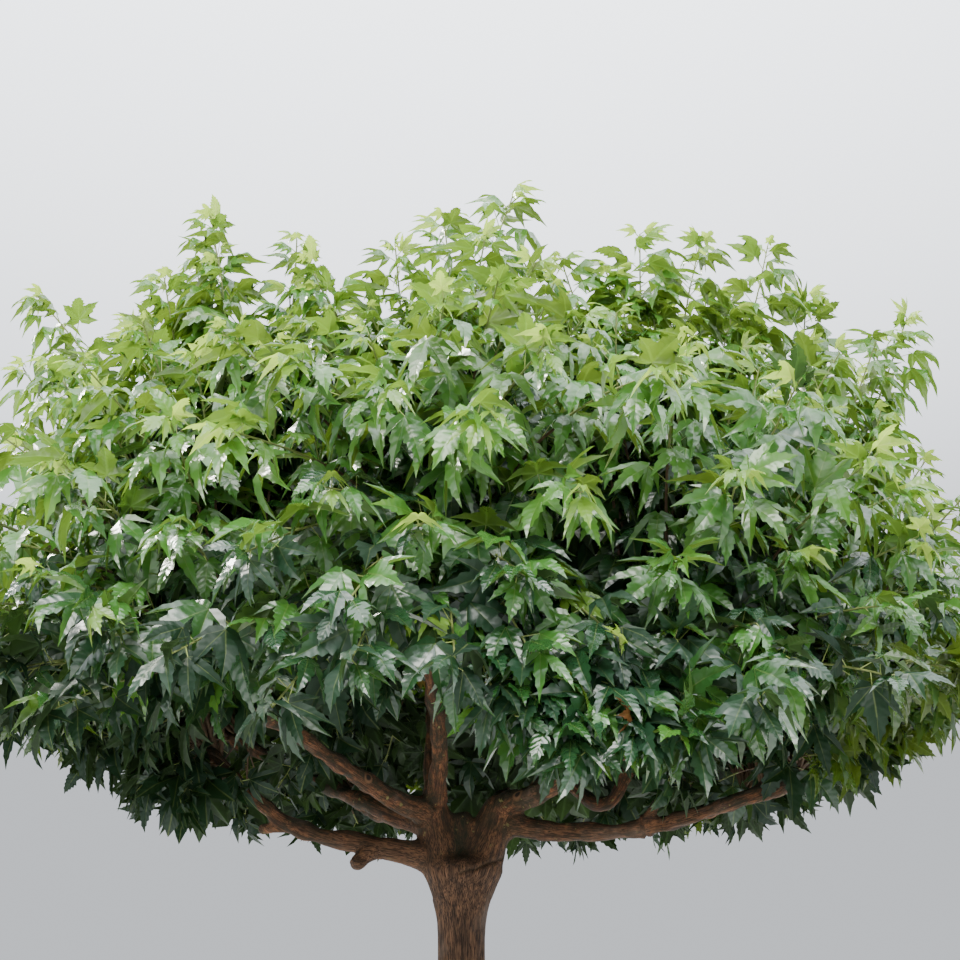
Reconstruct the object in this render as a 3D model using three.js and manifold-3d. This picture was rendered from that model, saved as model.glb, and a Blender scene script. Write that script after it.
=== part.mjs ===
// Pollarded mulberry tree in full summer leaf, with an umbrella crown.
// Millimetres. +Z is up, +X is the right of the front view and -Y is the front.
// The origin is at the centre of the flat cut under the trunk, at ground level.
import * as THREE from "three";
import Module from "manifold-3d";

const wasm = await Module();
wasm.setup();

// Trunk: radii and heights.
const TRUNK_RADIUS = 118;
const TRUNK_TAPER = 0.0075;
const FLARE_SPREAD = 58;
const FLARE_HEIGHT = 170;
const FLARE_LOBES = 5;
const FLARE_LOBE_DEPTH = 0.17;
const HEAD_START = 1640;
const HEAD_SPREAD = 84;
const HEAD_DEPTH = 0.75;
const FORK_HEIGHT = 1940;
const HEAD_DOME = [
  { above: 28, shrink: 0.96 },
  { above: 56, shrink: 0.84 },
  { above: 76, shrink: 0.6 },
];
const LEAN = 14;
const TRUNK_SIDES = 20;
const TRUNK_LEVELS = [0, 60, 140, 260, 450, 750, 1100, 1450, 1650, 1750, 1830, 1890, FORK_HEIGHT];

// Limbs: faces round each one, rings along it, and the gap kept to a neighbour.
const LIMB_SIDES = 7;
const LIMB_RINGS = 7;
const GAP = 0.3;
const TIP_RADIUS = 29;

// Crown: its widest radius, the height of that rim, and how far it rises and hangs.
const CROWN_RADIUS = 2400;
const RIM_HEIGHT = 3000;
const CROWN_RISE = 1620;
const FRONT_DROP = 280;
const SHOULDER = 2.4;
const SKIRT_HEIGHT = 2020;
const SKIRT_RISE = 780;
const FRONT_HEADING = 268;
const FRONT_HANG = 620;
const FRONT_LIFT = 750;
const MIDDLE_LIFT = 700;
const MIDDLE_RADIUS = 800;
const LEFT_HEADING = 188;
const LEFT_LIFT = 200;
const LEFT_RADIUS = 1950;
const LEFT_BAND = 450;
const RING_RADIUS = 1500;
const HEART_RADIUS = 520;
const SPACE_MARGIN = 1.5;
const LIMB_CLEARANCE = 3;

// Shoots: three-sided twigs that fan out from the stem of each mass.
const STEM_LENGTH = 190;
const STEM_ROOT_RADIUS = 27;
const STEM_TIP_RADIUS = 20;
const STEM_BARE = 0.45;
const STEM_CROWDED = 0.5;
const SHOOTS = 84;
const SHOOT_CROWDING = 1.4;
const SHOOT_CENTRE = 2600;
const SHOOT_SEGMENTS = 2;
const SHOOT_SHORTEST = 480;
const SHOOT_ROOT_RADIUS = 18;
const SHOOT_TIP_RADIUS = 8;
const SHOOT_BOW = 0.1;
const SHOOT_LIFT = 0.02;
const LOWEST_SLOPE = -0.3;
const SHOOT_SHORTFALL = 0.1;
const MARCH = 40;

// Leaves: each solid leaf stands for a spray of real ones.
const LEAF_LENGTH = 460;
const LEAF_WIDTH = 0.62;
const LEAF_THICKNESS = 0.04;
const LEAF_STEP = 200;
const LEAF_SINK = 0.35;
const LEAF_OVERHANG = 150;
const LEAF_TURNS = 4;
const LEAF_PULLS = { side: 0.8, along: 0.2, outward: 0.35, down: 0.55 };
const LEAF_FACING = { up: 0.5, outward: 0.9 };
const LEAF_SHOULDER = 0.42;
const LEAF_RIDGE = 0.22;
const LEAF_TIP_SIZE = 0.62;
const MASS_LEAVES = 34;
const GOLDEN_ANGLE = Math.PI * (3 - Math.sqrt(5));
const SEED = 20;

// Arms: the two thick limbs above the fork.
const ARMS = [
  { name: "arm_left", from: [-62, 0, 1935], azimuth: 200, reach: 70, rise: 315, root: 104, tip: 74 },
  { name: "arm_right", from: [80, 0, 1935], azimuth: 5, reach: 122, rise: 335, root: 106, tip: 76 },
];

// Boughs: the limb that each leaves and where along it, its heading, reach and rise, and the ways
// its line departs from straight. sag hangs the middle, wave lifts the first half, swing bends it
// sideways, and late is the power of the rise. crown is the heading of the mass that it carries,
// and heart is true where that mass fills the middle of the crown.
const BOUGHS = [
  { name: "bough_left", on: "arm_left", at: 0.18, azimuth: 189, reach: 1050, rise: 430,
    sag: 120, wave: 30, swing: 20, root: 60, crown: 189 },
  { name: "bough_right", on: "arm_right", at: 0.7, azimuth: 343, reach: 1260, rise: 110,
    sag: 110, swing: 25, root: 50, crown: 344 },
  { name: "bough_front_left", on: "arm_left", at: 0.81, azimuth: 231, reach: 1060, rise: 320,
    sag: 25, swing: -20, root: 52, crown: 231 },
  { name: "bough_front_right", on: "arm_right", at: 0.9, azimuth: 306, reach: 1030, rise: 160,
    sag: 0, swing: 25, root: 48, crown: 303 },
  { name: "bough_front", on: "arm_left", at: 0.9, azimuth: 272, reach: 990, rise: 730,
    sag: -40, swing: 25, root: 44, crown: 268 },
  { name: "bough_back_left", on: "arm_left", at: 0.62, azimuth: 150, reach: 1230, rise: 520,
    sag: 25, swing: 20, root: 50, crown: 152 },
  { name: "bough_back_right", on: "arm_right", at: 0.86, azimuth: 46, reach: 1110, rise: 420,
    sag: -20, swing: -30, root: 50, crown: 50 },
  { name: "bough_back", on: "arm_right", at: 0.73, azimuth: 88, reach: 1200, rise: 400,
    sag: 30, swing: 30, root: 46, crown: 84 },
  { name: "bough_back_mid", on: "arm_left", at: 0.68, azimuth: 119, reach: 1200, rise: 330,
    sag: 60, swing: -25, root: 46, crown: 118 },
  { name: "bough_right_back", on: "bough_right", at: 0.55, azimuth: 38, reach: 680, rise: 180,
    sag: 15, swing: 10, root: 36, crown: 16 },
  { name: "bough_right_curl", on: "bough_back_right", at: 0.42, azimuth: 332, reach: 500,
    rise: 600, sag: 160, late: 3.8, swing: 15, root: 38, crown: 330, heart: true },
  { name: "bough_top_left", on: "arm_left", at: 0.95, azimuth: 95, reach: 260, rise: 850,
    sag: -20, root: 44, crown: 160, heart: true },
  { name: "bough_top_right", on: "arm_right", at: 0.97, azimuth: 25, reach: 420, rise: 720,
    late: 2.6, swing: -20, root: 44, crown: 50, heart: true },
];

// Spires: shoots that stand out of the top of the crown, as heading, radius and height.
const SPIRES = [
  [211, 2110, 4330], [224, 1720, 4350], [230, 1630, 4620], [244, 1500, 4430], [261, 1520, 4280],
  [268, 1450, 4450], [280, 1370, 4660], [299, 1550, 4450], [309, 1620, 4480], [321, 1740, 4580],
  [333, 2200, 4280],
];
const BACK_SPIRES = 8;
const BACK_SPIRE_START = 350;
const BACK_SPIRE_STEP = 24;
const BACK_SPIRE_RADIUS = { least: 1450, spread: 550 };
const BACK_SPIRE_HEIGHT = { least: 4250, spread: 350 };
const SPIRE_LEAF = 110;

// Hanging shoots, which droop from the rim and under the left bough or close a gap in the rim, as
// heading, radius and height.
const HANGING = [
  [275, 2200, 2220], [278, 2220, 2190], [280, 2220, 2120], [283.5, 2260, 2170], [286.5, 2280, 2170],
  [193, 1250, 2170], [198, 1150, 2140], [204, 1000, 2170], [208, 1300, 2200],
  [100, 1600, 2720], [103, 1900, 2750], [105, 2150, 2800],
];

// Materials.
const BARK = { color: 0x6b4a38, roughness: 0.9, metalness: 0 };
const FOLIAGE = { color: 0x3f6b2c, roughness: 0.55, metalness: 0 };

const UP = new THREE.Vector3(0, 0, 1);

// A repeatable random number source between 0 and 1.
function randomFrom(seed) {
  let state = seed >>> 0;
  return () => {
    state = (Math.imul(state, 1664525) + 1013904223) >>> 0;
    return state / 4294967296;
  };
}

function heading(degrees) {
  const angle = THREE.MathUtils.degToRad(degrees);
  return new THREE.Vector3(Math.cos(angle), Math.sin(angle), 0);
}

// A closed skin over rings of equal count, with a fan at each end.
function skin(rings) {
  const sides = rings[0].length;
  const points = rings.flat();
  const index = [];
  for (let i = 0; i + 1 < rings.length; i++) {
    for (let j = 0; j < sides; j++) {
      const k = (j + 1) % sides;
      const low = i * sides;
      const high = low + sides;
      index.push(low + j, low + k, high + k);
      index.push(low + j, high + k, high + j);
    }
  }
  const last = (rings.length - 1) * sides;
  if (sides === 3) {
    index.push(0, 2, 1);
    index.push(last, last + 1, last + 2);
    return closedSolid(points, index);
  }
  const foot = points.push(middleOf(rings[0])) - 1;
  const top = points.push(middleOf(rings[rings.length - 1])) - 1;
  for (let j = 0; j < sides; j++) {
    const k = (j + 1) % sides;
    index.push(foot, k, j);
    index.push(top, last + j, last + k);
  }
  return closedSolid(points, index);
}

function middleOf(ring) {
  const sum = ring.reduce((total, point) => total.add(point), new THREE.Vector3());
  return sum.divideScalar(ring.length);
}

function closedSolid(points, index) {
  const vertProperties = new Float32Array(points.flatMap((point) => point.toArray()));
  const mesh = new wasm.Mesh({ numProp: 3, vertProperties, triVerts: new Uint32Array(index) });
  return new wasm.Manifold(mesh);
}

// Rings square to a line of points, turned as little as possible from one to the next.
function ringsAlong(line, radii, sides) {
  const rings = [];
  let across = null;
  line.forEach((point, i) => {
    const before = line[Math.max(i - 1, 0)];
    const after = line[Math.min(i + 1, line.length - 1)];
    const along = after.clone().sub(before).normalize();
    if (!across) {
      across = Math.abs(along.z) < 0.9 ? UP.clone() : new THREE.Vector3(1, 0, 0);
    }
    across = across.clone().addScaledVector(along, -across.dot(along)).normalize();
    const over = along.clone().cross(across);
    const ring = [];
    for (let j = 0; j < sides; j++) {
      const angle = (2 * Math.PI * j) / sides;
      const spoke = across.clone().multiplyScalar(Math.cos(angle) * radii[i]);
      ring.push(spoke.addScaledVector(over, Math.sin(angle) * radii[i]).add(point));
    }
    rings.push(ring);
  });
  return rings;
}

function trunkSpread(height) {
  const share = THREE.MathUtils.clamp((height - HEAD_START) / (FORK_HEIGHT - HEAD_START), 0, 1);
  return HEAD_SPREAD * share * share;
}

function trunkRing(height, shrink, extra) {
  const ring = [];
  const flare = Math.exp(-height / FLARE_HEIGHT);
  const centre = (LEAN * height) / FORK_HEIGHT;
  const level = Math.min(height, FORK_HEIGHT);
  for (let j = 0; j < TRUNK_SIDES; j++) {
    const angle = (2 * Math.PI * j) / TRUNK_SIDES;
    const lobes = 1 + FLARE_LOBE_DEPTH * flare * Math.cos(FLARE_LOBES * angle + 0.6);
    const column = (TRUNK_RADIUS - TRUNK_TAPER * level + FLARE_SPREAD * flare) * lobes;
    const wide = (column + trunkSpread(level)) * shrink + extra;
    const deep = (column + trunkSpread(level) * HEAD_DEPTH) * shrink + extra;
    ring.push(
      new THREE.Vector3(centre + wide * Math.cos(angle), deep * Math.sin(angle), height),
    );
  }
  return ring;
}

// The trunk from its flat cut to the top of its head. extra swells it for cutting a neighbour.
function trunkSolid(extra) {
  const rings = TRUNK_LEVELS.map((height) => trunkRing(height, 1, extra));
  HEAD_DOME.forEach(({ above, shrink }) => {
    rings.push(trunkRing(FORK_HEIGHT + above + extra, shrink, extra));
  });
  return skin(rings);
}

// Where a limb starts: its own point, or a place along the limb that carries it.
function limbStart(limb) {
  if (limb.from) return new THREE.Vector3(...limb.from);
  const carrier = [...ARMS, ...BOUGHS].find((other) => other.name === limb.on);
  return pointOn(limbLine(carrier), limb.at);
}

// The centre line of an arm or bough.
function limbLine(limb) {
  const { azimuth, reach, rise, sag = 0, wave = 0, swing = 0, late = 1 } = limb;
  const start = limbStart(limb);
  const out = heading(azimuth);
  const side = heading(azimuth + 90);
  const line = [];
  for (let i = 0; i < LIMB_RINGS; i++) {
    const t = i / (LIMB_RINGS - 1);
    const lift = rise * t ** late - sag * Math.sin(Math.PI * t) + wave * Math.sin(2 * Math.PI * t);
    const point = start.clone().addScaledVector(out, reach * t);
    point.addScaledVector(side, swing * Math.sin(2 * Math.PI * t)).addScaledVector(UP, lift);
    line.push(point);
  }
  return line;
}

function limbRadii(limb, extra) {
  const tip = limb.tip ?? TIP_RADIUS;
  const radii = [];
  for (let i = 0; i < LIMB_RINGS; i++) {
    const t = i / (LIMB_RINGS - 1);
    radii.push(THREE.MathUtils.lerp(limb.root, tip, t ** 0.8) + extra);
  }
  return radii;
}

// A limb as a solid. extra swells it all over for cutting a neighbour.
function limbSolid(limb, extra) {
  const line = limbLine(limb);
  const last = line.length - 1;
  line[0].addScaledVector(line[1].clone().sub(line[0]).normalize(), -extra);
  line[last].addScaledVector(line[last].clone().sub(line[last - 1]).normalize(), extra);
  return skin(ringsAlong(line, limbRadii(limb, extra), LIMB_SIDES));
}

function largestBody(solid) {
  const bodies = solid.decompose();
  return bodies.reduce((best, body) => (body.volume() > best.volume() ? body : best));
}

// Trunk, arms and boughs, each cut a gap clear of the ones before it.
function makeLimbs() {
  const limbs = [{ name: "trunk", solid: trunkSolid(0) }];
  let taken = trunkSolid(GAP);
  for (const limb of [...ARMS, ...BOUGHS]) {
    limbs.push({ name: limb.name, solid: largestBody(limbSolid(limb, 0).subtract(taken)) });
    taken = taken.add(limbSolid(limb, GAP));
  }
  return limbs;
}

// Everything that foliage keeps clear of: the limbs, swelled by a small clearance.
function forbiddenLimbs() {
  const swelled = [...ARMS, ...BOUGHS].map((limb) => limbSolid(limb, LIMB_CLEARANCE));
  return wasm.Manifold.union([trunkSolid(LIMB_CLEARANCE), ...swelled]);
}

// Height of the crown's hem above or below a point. It hangs lower at the front rim.
function hemHeight(point) {
  const share = Math.hypot(point.x, point.y) / CROWN_RADIUS;
  return SKIRT_HEIGHT + SKIRT_RISE * share ** 3 - FRONT_HANG * frontShare(point) * share ** 4;
}

// How much higher than the hem the crown's underside is, behind the front rim, towards the left rim
// and in the middle, where the boughs show.
function undersideLift(point) {
  const radius = Math.hypot(point.x, point.y);
  const front = FRONT_LIFT * frontShare(point) ** 2 * (1 - (radius / CROWN_RADIUS) ** 3);
  const band = Math.exp(-(((radius - LEFT_RADIUS) / LEFT_BAND) ** 2));
  const left = LEFT_LIFT * wayShare(point, LEFT_HEADING) ** 6 * band;
  return Math.max(front, left, MIDDLE_LIFT * Math.exp(-((radius / MIDDLE_RADIUS) ** 2)));
}

// How much the way from the axis to a point is the way of a heading, from 0 to 1.
function wayShare(point, degrees) {
  const radius = Math.hypot(point.x, point.y);
  const way = heading(degrees);
  return radius > 0 ? Math.max(0, (way.x * point.x + way.y * point.y) / radius) : 0;
}

function frontShare(point) {
  return wayShare(point, FRONT_HEADING);
}

function topHeight(point) {
  const radius = Math.hypot(point.x, point.y);
  const share = (radius / CROWN_RADIUS) ** SHOULDER;
  const facing = radius > 0 ? Math.max(0, -point.y / radius) : 0;
  return RIM_HEIGHT + (CROWN_RISE - FRONT_DROP * facing * facing) * Math.sqrt(1 - share);
}

// How far inside the crown a point lies, in millimetres up or down: negative is outside.
function crownDepth(point) {
  const radius = Math.hypot(point.x, point.y);
  if (radius > CROWN_RADIUS) return -(radius - CROWN_RADIUS);
  const underside = hemHeight(point) + undersideLift(point);
  return Math.min(topHeight(point) - point.z, point.z - underside);
}

function aboveHem(point) {
  if (Math.hypot(point.x, point.y) > CROWN_RADIUS) return false;
  return point.z > hemHeight(point) && point.z < topHeight(point);
}

// The centres of the upright columns of space that the masses keep to.
const SPACES = BOUGHS.map((bough) =>
  heading(bough.crown).multiplyScalar(bough.heart ? HEART_RADIUS : RING_RADIUS),
);

// Whether a point is inside a mass's own column of space by the margin.
function inSpace(point, own, margin) {
  const home = SPACES[own];
  return SPACES.every((other, i) => {
    if (i === own) return true;
    const apart = other.distanceTo(home);
    const near = (point.x - home.x) ** 2 + (point.y - home.y) ** 2;
    const far = (point.x - other.x) ** 2 + (point.y - other.y) ** 2;
    return (far - near) / (2 * apart) > margin;
  });
}

// The furthest point from the middle of the crown along a direction that is still above the hem,
// raised to the crown's underside.
function furthest(direction) {
  const tip = new THREE.Vector3(0, 0, SHOOT_CENTRE);
  const next = tip.clone();
  while (aboveHem(next)) {
    tip.copy(next);
    next.addScaledVector(direction, MARCH);
  }
  return tip.setZ(Math.max(tip.z, hemHeight(tip) + undersideLift(tip)));
}

function spireTips(random) {
  const spires = SPIRES.map((spire) => [...spire]);
  for (let k = 0; k < BACK_SPIRES; k++) {
    const azimuth = BACK_SPIRE_START + BACK_SPIRE_STEP * k;
    const radius = BACK_SPIRE_RADIUS.least + BACK_SPIRE_RADIUS.spread * random();
    const height = BACK_SPIRE_HEIGHT.least + BACK_SPIRE_HEIGHT.spread * random();
    spires.push([azimuth, radius, height]);
  }
  return spires.map(([azimuth, radius, height]) =>
    heading(azimuth).multiplyScalar(radius).setZ(height - SPIRE_LEAF),
  );
}

// Tips for all the shoots: the spires, the hanging ones, then points spread evenly over the
// crown's outside.
function shootTips() {
  const random = randomFrom(SEED);
  const tips = spireTips(random);
  for (const [azimuth, radius, height] of HANGING) {
    tips.push(heading(azimuth).multiplyScalar(radius).setZ(height));
  }
  for (let k = 0; k < SHOOTS; k++) {
    const slope = 1 - ((k + 0.5) / SHOOTS) ** SHOOT_CROWDING * (1 - LOWEST_SLOPE);
    const flat = Math.sqrt(1 - slope * slope);
    const angle = k * GOLDEN_ANGLE;
    const direction = new THREE.Vector3(flat * Math.cos(angle), flat * Math.sin(angle), slope);
    const tip = furthest(direction);
    tips.push(tip.lerp(new THREE.Vector3(0, 0, SHOOT_CENTRE), SHOOT_SHORTFALL * random()));
  }
  return tips;
}

// A shoot's line: nearly straight, bowed a little upwards.
function shootLine(root, tip) {
  const length = tip.distanceTo(root);
  const level = Math.hypot(tip.x - root.x, tip.y - root.y);
  const line = [];
  for (let i = 0; i <= SHOOT_SEGMENTS; i++) {
    const t = i / SHOOT_SEGMENTS;
    const lift = (SHOOT_BOW * level + SHOOT_LIFT * length) * Math.sin(Math.PI * t);
    line.push(root.clone().lerp(tip, t).addScaledVector(UP, lift));
  }
  return line;
}

function shootRadius(t) {
  return THREE.MathUtils.lerp(SHOOT_ROOT_RADIUS, SHOOT_TIP_RADIUS, t);
}

function pointOn(line, t) {
  const place = t * (line.length - 1);
  const i = Math.min(Math.floor(place), line.length - 2);
  return line[i].clone().lerp(line[i + 1], place - i);
}

// A leaf of eight faces: root, tip, two shoulders, and a ridge above and below.
function leafPoints(root, forward, normal, length) {
  const across = forward.clone().cross(normal).normalize();
  const face = across.clone().cross(forward).normalize();
  const at = (along, side, rise) =>
    root
      .clone()
      .addScaledVector(forward, along * length)
      .addScaledVector(across, side * length)
      .addScaledVector(face, rise * length);
  const half = LEAF_WIDTH / 2;
  const thick = LEAF_THICKNESS / 2;
  return [
    at(0, 0, 0),
    at(1, 0, 0),
    at(LEAF_SHOULDER, half, 0),
    at(LEAF_SHOULDER, -half, 0),
    at(LEAF_RIDGE, 0, thick),
    at(LEAF_RIDGE, 0, -thick),
  ];
}

const LEAF_FACES = [0, 2, 4, 2, 1, 4, 1, 3, 4, 3, 0, 4, 2, 0, 5, 1, 2, 5, 3, 1, 5, 0, 3, 5];

// The direction of a leaf at a place on its shoot, for a turn about the shoot.
function leafDirection(shoot, place, turn) {
  const along = shoot.tip.clone().sub(shoot.root).normalize();
  const level = Math.abs(along.z) < 0.95 ? UP : new THREE.Vector3(1, 0, 0);
  const across = level.clone().cross(along).normalize();
  const over = along.clone().cross(across);
  const side = across.multiplyScalar(Math.cos(turn)).addScaledVector(over, Math.sin(turn));
  const outward = new THREE.Vector3(place.x, place.y, 0).normalize();
  return side
    .multiplyScalar(LEAF_PULLS.side)
    .addScaledVector(along, LEAF_PULLS.along)
    .addScaledVector(outward, LEAF_PULLS.outward)
    .addScaledVector(UP, -LEAF_PULLS.down)
    .normalize();
}

function boxesMeet(a, b) {
  return [0, 1, 2].every((i) => a.min[i] <= b.max[i] && b.min[i] <= a.max[i]);
}

function touches(solid, others) {
  const box = solid.boundingBox();
  return others.some(
    (other) => boxesMeet(box, other.box) && !solid.intersect(other.solid).isEmpty(),
  );
}

function boxed(solid) {
  return { solid, box: solid.boundingBox() };
}

// A leaf keeps to its mass's space, and stands out of the crown no more than the overhang.
function leafFits(points, place, own) {
  const lowest = Math.min(crownDepth(place), 0) - LEAF_OVERHANG;
  return points.every(
    (point) => inSpace(point, own, SPACE_MARGIN) && crownDepth(point) > lowest,
  );
}

// One leaf on a shoot, turned on until it fits, or null where it never does.
function placeLeaf(shoot, order, count, own, limbs, leaves, shoots) {
  const t = 1 - order / count;
  const place = pointOn(shoot.line, t);
  const outward = new THREE.Vector3(place.x, place.y, 0).normalize();
  const length = LEAF_LENGTH * THREE.MathUtils.lerp(1, LEAF_TIP_SIZE, t ** 4);
  for (let k = 0; k < LEAF_TURNS; k++) {
    const turn = shoot.turn + GOLDEN_ANGLE * (order + 2.3 * k);
    const forward =
      order === 0 && k === 0
        ? shoot.tip.clone().sub(shoot.root).normalize().addScaledVector(outward, 0.15).normalize()
        : leafDirection(shoot, place, turn);
    const normal = UP.clone().multiplyScalar(LEAF_FACING.up);
    normal.addScaledVector(outward, LEAF_FACING.outward);
    const root = place.clone().addScaledVector(forward, -LEAF_SINK * shootRadius(t));
    const points = leafPoints(root, forward, normal, length);
    if (!leafFits(points, place, own)) continue;
    const solid = closedSolid(points, LEAF_FACES);
    const others = shoots.filter((other) => other.shoot !== shoot);
    if (!touches(solid, [...limbs, ...leaves, ...others])) return boxed(solid);
  }
  return null;
}

// The short stem that goes on from a bough's tip.
function stemOf(bough) {
  const line = limbLine(bough);
  const end = line[line.length - 1];
  const along = end.clone().sub(line[line.length - 2]).normalize();
  const start = end.clone().addScaledVector(along, GAP);
  const far = start.clone().addScaledVector(along, STEM_LENGTH);
  const rings = ringsAlong([start, far], [STEM_ROOT_RADIUS, STEM_TIP_RADIUS], LIMB_SIDES);
  return { solid: skin(rings), start, far };
}

function growShoots(stem, own, tips, limbs, random) {
  const shoots = [];
  for (const tip of tips) {
    if (!inSpace(tip, own, SHOOT_ROOT_RADIUS + SPACE_MARGIN)) continue;
    if (tip.distanceTo(stem.far) < SHOOT_SHORTEST) continue;
    const root = stem.start.clone().lerp(stem.far, STEM_BARE + STEM_CROWDED * random());
    const line = shootLine(root, tip);
    const turn = 2 * Math.PI * random();
    const radii = line.map((point, i) => shootRadius(i / SHOOT_SEGMENTS));
    const solid = skin(ringsAlong(line, radii, 3));
    if (touches(solid, limbs)) continue;
    shoots.push({ ...boxed(solid), shoot: { line, root, tip, turn } });
  }
  return shoots;
}

// Leaves are dealt out from the shoots' tips inwards, one to each shoot in turn.
function growLeaves(shoots, own, limbs) {
  const leaves = [];
  for (let order = 0; leaves.length < MASS_LEAVES; order++) {
    let open = false;
    for (const { shoot } of shoots) {
      const count = Math.floor(shoot.tip.distanceTo(shoot.root) / LEAF_STEP);
      if (order >= count || leaves.length >= MASS_LEAVES) continue;
      open = true;
      const leaf = placeLeaf(shoot, order, count, own, limbs, leaves, shoots);
      if (leaf) leaves.push(leaf);
    }
    if (!open) break;
  }
  return leaves;
}

function makeMass(bough, own, tips, limbs) {
  const random = randomFrom(SEED + 101 * (own + 1));
  const stem = stemOf(bough);
  const shoots = growShoots(stem, own, tips, limbs, random);
  const leaves = growLeaves(shoots, own, limbs);
  const parts = [stem.solid, ...shoots.map((s) => s.solid), ...leaves.map((leaf) => leaf.solid)];
  return largestBody(wasm.Manifold.union(parts));
}

function meshOf(name, solid, look) {
  const { numProp, vertProperties, triVerts } = solid.getMesh();
  const geometry = new THREE.BufferGeometry();
  const positions = new Float32Array((vertProperties.length / numProp) * 3);
  for (let i = 0; i * numProp < vertProperties.length; i++) {
    positions.set(vertProperties.subarray(i * numProp, i * numProp + 3), i * 3);
  }
  geometry.setAttribute("position", new THREE.BufferAttribute(positions, 3));
  geometry.setIndex(new THREE.BufferAttribute(new Uint32Array(triVerts), 1));
  geometry.computeVertexNormals();
  const mesh = new THREE.Mesh(geometry, new THREE.MeshStandardMaterial(look));
  mesh.name = name;
  return mesh;
}

const group = new THREE.Group();
for (const limb of makeLimbs()) group.add(meshOf(limb.name, limb.solid, BARK));
const limbs = [boxed(forbiddenLimbs())];
const tips = shootTips();
BOUGHS.forEach((bough, own) => {
  const name = bough.name.replace("bough", "foliage");
  group.add(meshOf(name, makeMass(bough, own, tips, limbs), FOLIAGE));
});

export default group;
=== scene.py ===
# Pollarded mulberry tree in full summer leaf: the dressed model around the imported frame.
# Metres. +Z is up, +X is the right of the front view and -Y is the front.
import collections
import functools
import math

import bpy
import numpy as np
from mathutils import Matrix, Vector


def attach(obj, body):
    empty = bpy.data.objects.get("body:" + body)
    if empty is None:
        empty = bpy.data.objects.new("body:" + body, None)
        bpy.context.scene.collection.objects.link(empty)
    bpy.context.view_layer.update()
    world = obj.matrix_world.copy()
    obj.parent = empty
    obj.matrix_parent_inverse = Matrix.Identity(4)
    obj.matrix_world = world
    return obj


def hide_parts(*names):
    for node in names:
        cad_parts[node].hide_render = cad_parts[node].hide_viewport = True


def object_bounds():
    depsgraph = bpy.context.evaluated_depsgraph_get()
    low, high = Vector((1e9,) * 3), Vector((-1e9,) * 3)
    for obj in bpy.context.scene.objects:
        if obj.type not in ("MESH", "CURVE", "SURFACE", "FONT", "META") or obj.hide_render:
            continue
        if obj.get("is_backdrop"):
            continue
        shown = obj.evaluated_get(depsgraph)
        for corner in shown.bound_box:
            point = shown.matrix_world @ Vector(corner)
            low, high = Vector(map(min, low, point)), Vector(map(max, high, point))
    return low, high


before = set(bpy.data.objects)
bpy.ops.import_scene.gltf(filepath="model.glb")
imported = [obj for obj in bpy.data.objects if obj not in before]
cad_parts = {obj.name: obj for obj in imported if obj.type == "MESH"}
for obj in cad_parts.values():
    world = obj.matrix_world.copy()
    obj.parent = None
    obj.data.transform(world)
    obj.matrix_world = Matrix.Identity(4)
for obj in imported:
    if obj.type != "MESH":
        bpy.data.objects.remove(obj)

CAD_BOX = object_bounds()
GOLDEN = math.pi * (3 - math.sqrt(5))
UP = np.array([0.0, 0.0, 1.0])

# Trunk and limbs, as in the source.
TRUNK_RADIUS = 0.118
TRUNK_TAPER = 0.0075
FLARE_SPREAD = 0.058
FLARE_HEIGHT = 0.17
FLARE_LOBES = 5
FLARE_LOBE_DEPTH = 0.17
HEAD_START = 1.64
HEAD_SPREAD = 0.084
HEAD_DEPTH = 0.75
FORK_HEIGHT = 1.94
HEAD_TOP = 2.01
LEAN = 0.014
TIP_RADIUS = 0.029
LIMB_STEPS = 40
TRUNK_STEPS = 60
TRUNK_MEAN_RADIUS = 0.11
TRUNK_RINGS = 90
HEAD_RINGS = [(1.965, 0.97), (1.99, 0.88), (HEAD_TOP, 0.62)]
COLLAR = 0.35
COLLAR_LENGTH = 0.07
KNOB = [(0.02, 0.047), (0.05, 0.045), (0.075, 0.034), (0.09, 0.016)]
SKIN_VOXEL = 0.0095

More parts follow.
